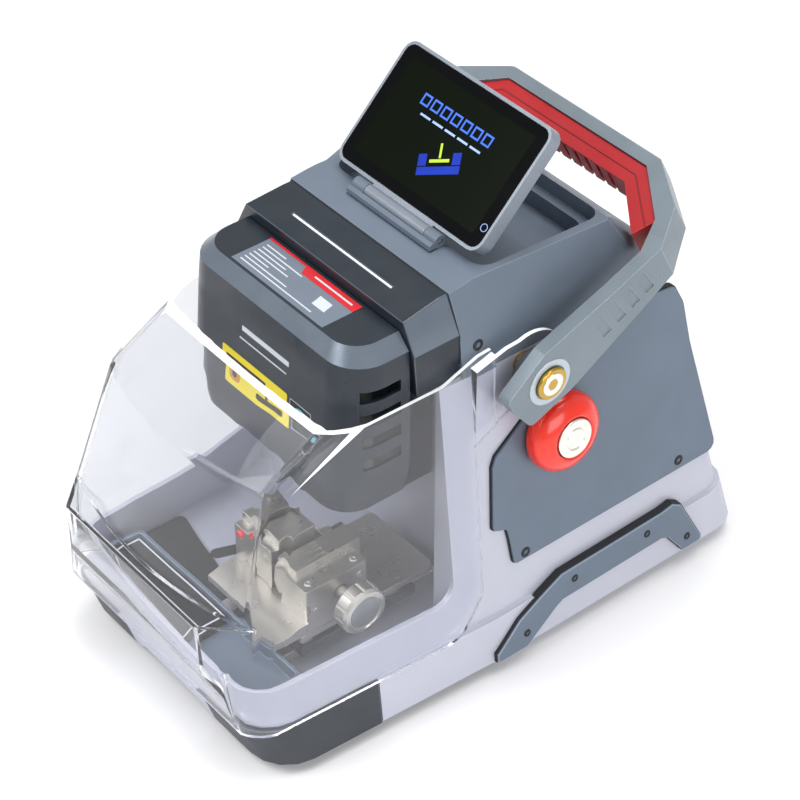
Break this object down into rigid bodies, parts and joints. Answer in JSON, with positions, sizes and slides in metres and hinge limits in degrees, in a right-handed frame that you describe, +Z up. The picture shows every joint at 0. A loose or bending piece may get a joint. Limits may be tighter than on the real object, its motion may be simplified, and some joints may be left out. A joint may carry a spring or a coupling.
{
  "type": "key duplicating machine",
  "caption": "Bench key duplicating machine: powered cutting head over a sliding table with a key clamp, clear swing-up visor, folding display, carrying bail and stop button.",
  "frame": {"origin": "on the bench, under the middle of the machine's box", "axes": "+Y to the back along the machine's length, -Y towards the operator, +X to the stop button's side, +Z up"},
  "size_m": [0.2336, 0.401, 0.3433],
  "materials": {
    "silver_casting": "satin powder coat",
    "slate_panel": "fine matte",
    "shell_grey": "fine matte",
    "charcoal_cover": "satin",
    "cap_grey": "matte",
    "bail_grey": "satin",
    "grip_red": "soft matte",
    "stop_red": "gloss",
    "steel": "machined satin",
    "dark_steel": "satin",
    "rubber_black": "matte",
    "brass_ring": "polished",
    "circuit_green": "satin",
    "white_diffuser": "frosted",
    "clear_visor": "clear polished",
    "display_frame": "satin",
    "display_glass": "gloss black"
  },
  "bodies": {
    "base": {"base_housing": "silver_casting", "side_rail_right": "slate_panel", "side_rail_left": "slate_panel", "side_panel_right": "slate_panel", "side_panel_left": "slate_panel", "chip_tray": "slate_panel", "top_shell": "shell_grey", "hinge_block": "shell_grey", "front_cover": "charcoal_cover", "head_cover": "charcoal_cover", "rear_grille": "charcoal_cover", "corner_cap_right": "cap_grey", "corner_cap_left": "cap_grey", "y_motor": "cap_grey", "battery_pack": "cap_grey", "stop_guard": "stop_red", "hinge_pin": "steel", "y_rail_left": "steel", "y_rail_right": "steel", "y_lead_screw": "steel", "z_rail_left": "steel", "z_rail_right": "steel", "usb_socket": "steel", "bottom_cover": "dark_steel", "pivot_spacer_right": "dark_steel", "pivot_spacer_left": "dark_steel", "z_column": "dark_steel", "power_supply": "dark_steel", "foot_front_left": "rubber_black", "foot_front_right": "rubber_black", "foot_rear_left": "rubber_black", "foot_rear_right": "rubber_black", "tool_mat": "rubber_black", "bay_mat": "rubber_black", "power_inlet": "rubber_black", "pivot_bolt_right": "brass_ring", "pivot_bolt_left": "brass_ring", "control_board": "circuit_green", "light_bar": "white_diffuser"},
    "visor": {"visor": "clear_visor"},
    "bail": {"bail_frame": "bail_grey", "bail_grip": "grip_red"},
    "display": {"display_case": "display_frame", "display_glass": "display_glass"},
    "stop_button": {"stop_button": "steel"},
    "y_stage": {"y_saddle": "dark_steel", "x_rail_front": "steel", "x_rail_rear": "steel", "x_lead_screw": "steel"},
    "x_stage": {"x_table": "steel", "clamp_body": "steel", "fixed_jaw": "steel"},
    "jaw": {"moving_jaw": "steel"},
    "clamp_knob": {"clamp_knob": "steel"},
    "z_stage": {"z_carriage": "dark_steel", "spindle_quill": "steel", "spindle_motor": "cap_grey", "probe": "steel"},
    "spindle": {"collet_spindle": "dark_steel", "cutter": "steel"}
  },
  "joints": [
    {"name": "visor_hinge", "type": "hinge", "parent": "base", "child": "visor", "pos_m": [0, 0.022, 0.214], "axis": [-1, 0, 0], "range_deg": [0, 70]},
    {"name": "bail_swing", "type": "hinge", "parent": "base", "child": "bail", "pos_m": [0, 0.022, 0.214], "axis": [1, 0, 0], "range_deg": [0, 22]},
    {"name": "display_tilt", "type": "hinge", "parent": "base", "child": "display", "pos_m": [0, 0.0015, 0.2805], "axis": [1, 0, 0], "range_deg": [-45, 20]},
    {"name": "stop_press", "type": "slide", "parent": "base", "child": "stop_button", "axis": [-0.9938, 0, -0.1113], "range_m": [0, 0.003], "stiffness_N_per_m": 900, "springref_m": -0.002},
    {"name": "y_travel", "type": "slide", "parent": "base", "child": "y_stage", "axis": [0, 1, 0], "range_m": [-0.012, 0.012]},
    {"name": "x_travel", "type": "slide", "parent": "y_stage", "child": "x_stage", "axis": [1, 0, 0], "range_m": [-0.022, 0.009]},
    {"name": "clamp_turn", "type": "hinge", "parent": "x_stage", "child": "clamp_knob", "pos_m": [0.075, -0.093, 0.0808], "axis": [1, 0, 0], "range_deg": [-865, 553]},
    {"name": "jaw_slide", "type": "slide", "parent": "x_stage", "child": "jaw", "axis": [1, 0, 0], "range_m": [-0.0036, 0.0023]},
    {"name": "z_travel", "type": "slide", "parent": "base", "child": "z_stage", "axis": [0, 0, 1], "range_m": [-0.009, 0.01]},
    {"name": "spindle_spin", "type": "hinge", "parent": "z_stage", "child": "spindle", "pos_m": [0, -0.0805, 0.15], "axis": [0, 0, 1], "continuous": true}
  ],
  "couplings": [
    {"joint": "clamp_turn", "follows": "jaw_slide", "rad_per_m": 4188.8}
  ]
}
